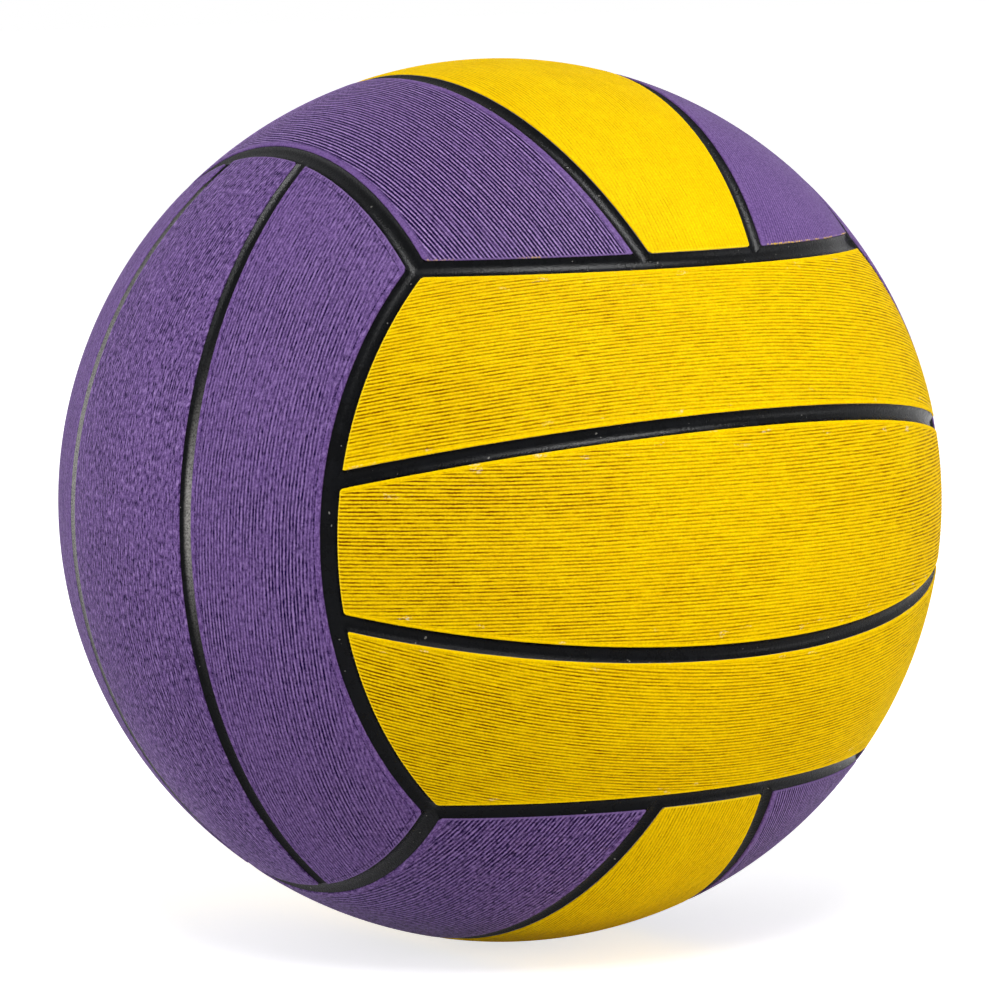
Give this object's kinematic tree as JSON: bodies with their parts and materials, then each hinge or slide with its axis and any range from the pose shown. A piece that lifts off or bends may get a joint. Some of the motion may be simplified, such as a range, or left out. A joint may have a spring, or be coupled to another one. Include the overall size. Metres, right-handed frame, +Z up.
{
  "type": "water polo ball",
  "caption": "Inflated rubber ball with ribbed strips over a black carcass, channels between the strips, and an inflation valve.",
  "frame": {"origin": "centre of the ball", "axes": "+Z up, towards the middle of the top face, +Y out through the valve at the back, -Y out of the yellow front face whose strips lie along X"},
  "size_m": [0.22, 0.2199, 0.22],
  "materials": {
    "yellow_rubber": "matte",
    "purple_rubber": "matte",
    "black_rubber": "satin",
    "nylon_thread": "matte",
    "butyl_rubber": "satin",
    "plug_rubber": "satin"
  },
  "bodies": {
    "root": {"front_panel_upper": "yellow_rubber", "front_panel_middle": "yellow_rubber", "front_panel_lower": "yellow_rubber", "back_panel_upper": "yellow_rubber", "back_panel_middle": "yellow_rubber", "back_panel_lower": "yellow_rubber", "left_panel_front": "purple_rubber", "left_panel_middle": "purple_rubber", "left_panel_rear": "purple_rubber", "right_panel_front": "purple_rubber", "right_panel_middle": "purple_rubber", "right_panel_rear": "purple_rubber", "top_panel_left": "purple_rubber", "top_panel_middle": "yellow_rubber", "top_panel_right": "purple_rubber", "bottom_panel_left": "purple_rubber", "bottom_panel_middle": "yellow_rubber", "bottom_panel_right": "purple_rubber", "carcass": "black_rubber", "winding": "nylon_thread", "bladder": "butyl_rubber", "valve_housing": "black_rubber", "valve_plug": "plug_rubber"}
  },
  "joints": []
}
